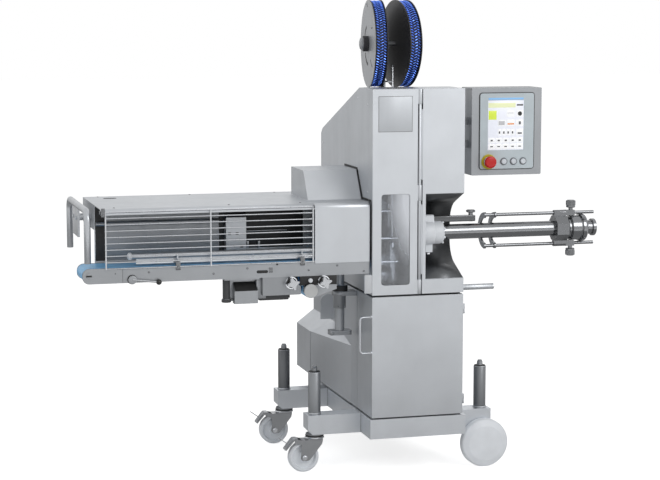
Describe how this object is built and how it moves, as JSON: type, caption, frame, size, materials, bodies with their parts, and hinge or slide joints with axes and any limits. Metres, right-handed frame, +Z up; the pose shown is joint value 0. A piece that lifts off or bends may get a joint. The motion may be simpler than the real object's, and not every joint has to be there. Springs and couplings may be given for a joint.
{
  "type": "sausage clipper",
  "caption": "Automatic double clipper for sausages on a wheeled base, with a filling horn, clip reels on the roof, an operator panel and a guarded discharge conveyor.",
  "frame": {"origin": "on the floor under the middle of the overall box", "axes": "+X along the product line towards the horn's inlet, +Y from the operator's side to the back, +Z up"},
  "size_m": [2.1429, 0.946, 1.913],
  "materials": {
    "stainless": "satin brushed stainless sheet",
    "polished_steel": "polished stainless",
    "panel_steel": "satin, darker",
    "tool_steel": "ground",
    "motor_grey": "cast",
    "rack_grey": "matte",
    "window_clear": "clear sheet",
    "belt_blue": "satin",
    "reel_black": "matte",
    "clip_blue": "coated wire",
    "white_plastic": "satin",
    "face_grey": "film",
    "stop_red": "gloss",
    "button_white": "gloss"
  },
  "bodies": {
    "machine": {"base_frame": "stainless", "cabinet_shell": "stainless", "machine_plate": "stainless", "drive_motor": "motor_grey", "electrics_rack": "rack_grey", "tower_side_left": "stainless", "tower_right_housing": "stainless", "tower_top_cover": "stainless", "spool_bracket": "stainless", "horn": "polished_steel", "horn_clamp": "stainless", "conveyor_column": "stainless"},
    "upper_door": {"upper_door": "stainless", "door_window": "window_clear"},
    "lower_door": {"lower_door": "stainless"},
    "conveyor": {"conveyor_frame": "stainless", "belt": "belt_blue", "hood": "stainless", "end_cover": "stainless", "end_bow": "polished_steel", "terminal_box": "stainless", "belt_drive_cover": "stainless"},
    "guard_grille": {"guard_grille": "polished_steel"},
    "drive_roller": {"drive_roller": "polished_steel"},
    "tail_roller": {"tail_roller": "polished_steel"},
    "tension_lever": {"tension_lever": "polished_steel"},
    "star_knob_left": {"star_knob_left": "polished_steel"},
    "star_knob_right": {"star_knob_right": "polished_steel"},
    "product_guide": {"product_guide": "polished_steel"},
    "reel_left": {"reel_left": "reel_black", "clips_left": "clip_blue"},
    "reel_right": {"reel_right": "reel_black", "clips_right": "clip_blue"},
    "brake_ring": {"brake_ring": "white_plastic"},
    "brake_knob": {"brake_knob": "stainless"},
    "casing_carriage": {"casing_carriage": "polished_steel"},
    "clamp_knob_top": {"clamp_knob_top": "stainless"},
    "clamp_knob_bottom": {"clamp_knob_bottom": "stainless"},
    "operator_panel": {"panel_box": "panel_steel", "panel_face": "face_grey"},
    "emergency_stop": {"emergency_stop": "stop_red"},
    "push_button_1": {"push_button_1": "button_white"},
    "push_button_2": {"push_button_2": "button_white"},
    "push_button_3": {"push_button_3": "button_white"},
    "gatherer_upper": {"gatherer_upper": "tool_steel"},
    "gatherer_lower": {"gatherer_lower": "tool_steel"},
    "punch": {"punch": "tool_steel"},
    "die": {"die": "tool_steel"},
    "front_left_spindle": {"front_left_spindle": "stainless"},
    "front_left_fork": {"front_left_fork": "polished_steel"},
    "front_left_wheel": {"front_left_wheel": "white_plastic"},
    "front_left_pedal": {"front_left_pedal": "polished_steel"},
    "rear_left_spindle": {"rear_left_spindle": "stainless"},
    "rear_left_fork": {"rear_left_fork": "polished_steel"},
    "rear_left_wheel": {"rear_left_wheel": "white_plastic"},
    "rear_left_pedal": {"rear_left_pedal": "polished_steel"},
    "front_right_bracket": {"front_right_axle_bracket": "stainless"},
    "front_right_wheel": {"front_right_wheel": "white_plastic"},
    "rear_right_bracket": {"rear_right_axle_bracket": "stainless"},
    "rear_right_wheel": {"rear_right_wheel": "white_plastic"}
  },
  "joints": [
    {"name": "upper_door_hinge", "type": "hinge", "parent": "machine", "child": "upper_door", "pos_m": [0.277, -0.455, 1.15], "axis": [0, 0, 1], "range_deg": [0, 110]},
    {"name": "lower_door_hinge", "type": "hinge", "parent": "machine", "child": "lower_door", "pos_m": [0.468, -0.456, 0.49], "axis": [0, 0, 1], "range_deg": [0, 110]},
    {"name": "conveyor_height", "type": "slide", "parent": "machine", "child": "conveyor", "axis": [0, 0, 1], "range_m": [0, 0.045]},
    {"name": "grille_hinge", "type": "hinge", "parent": "conveyor", "child": "guard_grille", "pos_m": [-0.575, -0.445, 1.104], "axis": [-1, 0, 0], "range_deg": [0, 100]},
    {"name": "drive_roller_spin", "type": "hinge", "parent": "conveyor", "child": "drive_roller", "pos_m": [-0.171, -0.36, 0.769], "axis": [0, 1, 0], "continuous": true},
    {"name": "tail_roller_spin", "type": "hinge", "parent": "conveyor", "child": "tail_roller", "pos_m": [-1.045, -0.36, 0.86], "axis": [0, 1, 0], "continuous": true},
    {"name": "tension_lever_turn", "type": "hinge", "parent": "conveyor", "child": "tension_lever", "pos_m": [-0.88, -0.452, 0.841], "axis": [0, 1, 0], "range_deg": [-15, 60]},
    {"name": "star_knob_left_turn", "type": "hinge", "parent": "conveyor", "child": "star_knob_left", "pos_m": [-0.248, -0.47, 0.804], "axis": [0, 1, 0], "continuous": true},
    {"name": "star_knob_right_turn", "type": "hinge", "parent": "conveyor", "child": "star_knob_right", "pos_m": [-0.116, -0.47, 0.804], "axis": [0, 1, 0], "continuous": true},
    {"name": "product_guide_height", "type": "slide", "parent": "conveyor", "child": "product_guide", "axis": [0, 0, 1], "range_m": [0, 0.04]},
    {"name": "reel_left_spin", "type": "hinge", "parent": "machine", "child": "reel_left", "pos_m": [0.1705, -0.175, 1.735], "axis": [0.9936, -0.1132, 0], "continuous": true},
    {"name": "reel_right_spin", "type": "hinge", "parent": "machine", "child": "reel_right", "pos_m": [0.2825, -0.175, 1.735], "axis": [0.9976, 0.0698, 0], "continuous": true},
    {"name": "brake_slide", "type": "slide", "parent": "machine", "child": "brake_ring", "axis": [1, 0, 0], "range_m": [0, 0.035]},
    {"name": "brake_knob_turn", "type": "hinge", "parent": "brake_ring", "child": "brake_knob", "pos_m": [0.527, -0.36, 1.04], "axis": [0, 0, 1], "continuous": true},
    {"name": "carriage_slide", "type": "slide", "parent": "machine", "child": "casing_carriage", "axis": [1, 0, 0], "range_m": [-0.02, 0.24]},
    {"name": "clamp_knob_top_turn", "type": "hinge", "parent": "machine", "child": "clamp_knob_top", "pos_m": [0.965, -0.36, 1.07], "axis": [0, 0, 1], "continuous": true},
    {"name": "clamp_knob_bottom_turn", "type": "hinge", "parent": "machine", "child": "clamp_knob_bottom", "pos_m": [0.965, -0.36, 0.88], "axis": [0, 0, 1], "continuous": true},
    {"name": "panel_swivel", "type": "hinge", "parent": "machine", "child": "operator_panel", "pos_m": [0.506, -0.24, 1.37], "axis": [0, 0, 1], "range_deg": [-45, 60]},
    {"name": "emergency_stop_press", "type": "slide", "parent": "operator_panel", "child": "emergency_stop", "axis": [0, 1, 0], "range_m": [0, 0.004], "stiffness_N_per_m": 900, "springref_m": -0.004},
    {"name": "push_button_1_press", "type": "slide", "parent": "operator_panel", "child": "push_button_1", "axis": [0, 1, 0], "range_m": [0, 0.003], "stiffness_N_per_m": 400, "springref_m": -0.003},
    {"name": "push_button_2_press", "type": "slide", "parent": "operator_panel", "child": "push_button_2", "axis": [0, 1, 0], "range_m": [0, 0.003], "stiffness_N_per_m": 400, "springref_m": -0.003},
    {"name": "push_button_3_press", "type": "slide", "parent": "operator_panel", "child": "push_button_3", "axis": [0, 1, 0], "range_m": [0, 0.003], "stiffness_N_per_m": 400, "springref_m": -0.003},
    {"name": "gatherer_upper_close", "type": "slide", "parent": "machine", "child": "gatherer_upper", "axis": [0, 0, -1], "range_m": [0, 0.06]},
    {"name": "gatherer_lower_close", "type": "slide", "parent": "machine", "child": "gatherer_lower", "axis": [0, 0, 1], "range_m": [0, 0.06]},
    {"name": "punch_stroke", "type": "slide", "parent": "machine", "child": "punch", "axis": [0, 0, -1], "range_m": [0, 0.048]},
    {"name": "die_stroke", "type": "slide", "parent": "machine", "child": "die", "axis": [0, 0, 1], "range_m": [0, 0.048]},
    {"name": "front_left_jack", "type": "slide", "parent": "machine", "child": "front_left_spindle", "axis": [0, 0, -1], "range_m": [0, 0.06]},
    {"name": "front_left_swivel", "type": "hinge", "parent": "front_left_spindle", "child": "front_left_fork", "pos_m": [-0.114, -0.288, 0.138], "axis": [0, 0, 1], "continuous": true},
    {"name": "front_left_roll", "type": "hinge", "parent": "front_left_fork", "child": "front_left_wheel", "pos_m": [-0.162, -0.288, 0.0625], "axis": [0, 1, 0], "continuous": true},
    {"name": "front_left_brake", "type": "hinge", "parent": "front_left_fork", "child": "front_left_pedal", "pos_m": [-0.194, -0.288, 0.132], "axis": [0, -1, 0], "range_deg": [0, 10]},
    {"name": "rear_left_jack", "type": "slide", "parent": "machine", "child": "rear_left_spindle", "axis": [0, 0, -1], "range_m": [0, 0.06]},
    {"name": "rear_left_swivel", "type": "hinge", "parent": "rear_left_spindle", "child": "rear_left_fork", "pos_m": [-0.114, 0.23, 0.138], "axis": [0, 0, 1], "continuous": true},
    {"name": "rear_left_roll", "type": "hinge", "parent": "rear_left_fork", "child": "rear_left_wheel", "pos_m": [-0.162, 0.23, 0.0625], "axis": [0, 1, 0], "continuous": true},
    {"name": "rear_left_brake", "type": "hinge", "parent": "rear_left_fork", "child": "rear_left_pedal", "pos_m": [-0.194, 0.23, 0.132], "axis": [0, -1, 0], "range_deg": [0, 10]},
    {"name": "front_right_jack", "type": "slide", "parent": "machine", "child": "front_right_bracket", "axis": [0, 0, -1], "range_m": [0, 0.06]},
    {"name": "front_right_roll", "type": "hinge", "parent": "front_right_bracket", "child": "front_right_wheel", "pos_m": [0.581, -0.338, 0.1], "axis": [0, 1, 0], "continuous": true},
    {"name": "rear_right_jack", "type": "slide", "parent": "machine", "child": "rear_right_bracket", "axis": [0, 0, -1], "range_m": [0, 0.06]},
    {"name": "rear_right_roll", "type": "hinge", "parent": "rear_right_bracket", "child": "rear_right_wheel", "pos_m": [0.581, 0.28, 0.1], "axis": [0, 1, 0], "continuous": true}
  ],
  "couplings": [
    {"joint": "tail_roller_spin", "follows": "drive_roller_spin", "ratio": 1},
    {"joint": "gatherer_lower_close", "follows": "gatherer_upper_close", "ratio": 1},
    {"joint": "punch_stroke", "follows": "gatherer_upper_close", "ratio": 0.8},
    {"joint": "die_stroke", "follows": "gatherer_upper_close", "ratio": 0.8}
  ]
}
